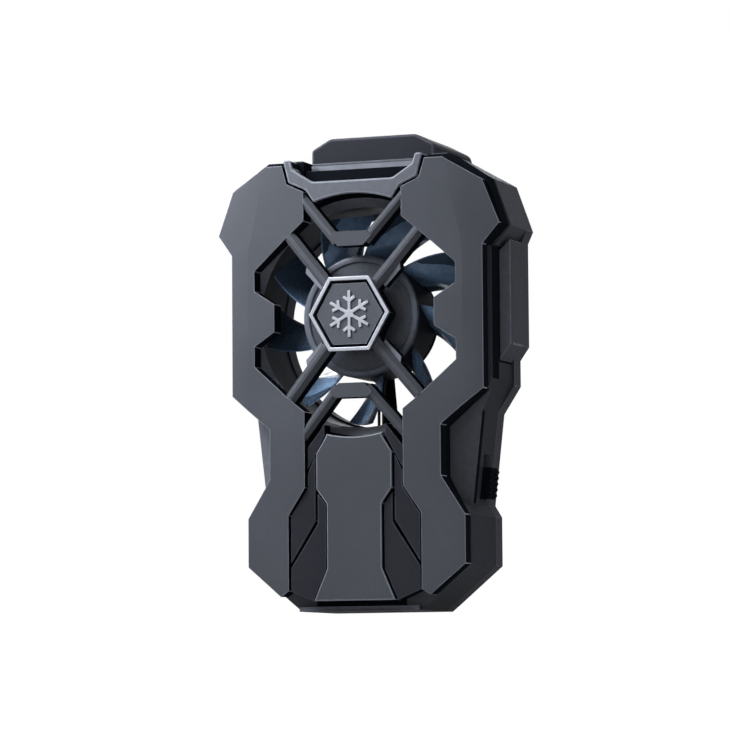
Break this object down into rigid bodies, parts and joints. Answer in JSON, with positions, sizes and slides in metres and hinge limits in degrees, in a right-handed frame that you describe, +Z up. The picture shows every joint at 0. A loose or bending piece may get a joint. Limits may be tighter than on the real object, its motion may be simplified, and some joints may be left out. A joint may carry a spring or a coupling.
{
  "type": "phone cooling fan",
  "caption": "Clip-on cooling fan for a phone: swept-blade fan behind an angular armoured front, with a sprung upper clip, fixed lower jaw and slide switch.",
  "frame": {"origin": "middle of the flat base that it stands on, halfway between the badge's front and the jaws' ends", "axes": "+Z up along the body, +Y back towards the phone, +X to the right seen from the front"},
  "size_m": [0.0526, 0.032, 0.0826],
  "materials": {
    "armour_paint": "satin slate grey paint",
    "housing_paint": "satin slate grey paint, a little darker",
    "accent_paint": "satin dark slate paint",
    "badge_metal": "bright plated trim",
    "frame_black": "moulded black",
    "blade_smoke": "glossy smoked plastic",
    "cap_gloss": "polished black",
    "pad_rubber": "soft matt rubber",
    "steel": "plain steel",
    "bearing_bronze": "sintered bronze",
    "core_steel": "laminated sheet",
    "coil_copper": "enamelled copper wire",
    "magnet": "bonded magnet",
    "board_green": "solder mask",
    "lead_sleeve": "thin wire sleeve",
    "battery_wrap": "shrink wrap",
    "socket_metal": "drawn steel shell"
  },
  "bodies": {
    "body": {"badge_plate": "armour_paint", "left_armour": "armour_paint", "right_armour": "armour_paint", "cross_grille": "armour_paint", "upper_chevron": "armour_paint", "lower_chevron": "armour_paint", "top_bridge": "armour_paint", "centre_panel": "armour_paint", "lower_jaw": "armour_paint", "mid_housing": "housing_paint", "left_side_grip": "housing_paint", "right_side_grip": "housing_paint", "rear_cover": "housing_paint", "left_upper_accent": "accent_paint", "right_upper_accent": "accent_paint", "left_lower_accent": "accent_paint", "right_lower_accent": "accent_paint", "badge_ring": "badge_metal", "badge_emblem": "badge_metal", "inner_frame": "frame_black", "fan_shroud": "frame_black", "corner_pads": "pad_rubber", "back_pad": "pad_rubber", "lower_jaw_pad": "pad_rubber", "case_screws": "steel", "lower_jaw_screws": "steel", "left_spring": "steel", "right_spring": "steel", "switch_body": "steel", "sleeve_bearing": "bearing_bronze", "stator_core": "core_steel", "stator_coils": "coil_copper", "motor_board": "board_green", "control_board": "board_green", "motor_leads": "lead_sleeve", "battery": "battery_wrap", "charge_socket": "socket_metal"},
    "fan": {"impeller": "blade_smoke", "hub_cap": "cap_gloss", "rotor_yoke": "steel", "magnet_ring": "magnet", "motor_shaft": "steel"},
    "upper_clip": {"clip_slider": "steel", "upper_jaw": "armour_paint", "upper_jaw_pad": "pad_rubber"},
    "switch": {"switch_knob": "frame_black"}
  },
  "joints": [
    {"name": "fan_spin", "type": "hinge", "parent": "body", "child": "fan", "pos_m": [0, 0, 0.0505], "axis": [0, 1, 0], "continuous": true},
    {"name": "clip_slide", "type": "slide", "parent": "body", "child": "upper_clip", "axis": [0, 0, 1], "range_m": [0, 0.02], "stiffness_N_per_m": 150, "springref_m": -0.03, "deforming": ["left_spring", "right_spring"]},
    {"name": "switch_slide", "type": "slide", "parent": "body", "child": "switch", "axis": [0.1132, 0, 0.9936], "range_m": [0, 0.002]}
  ]
}
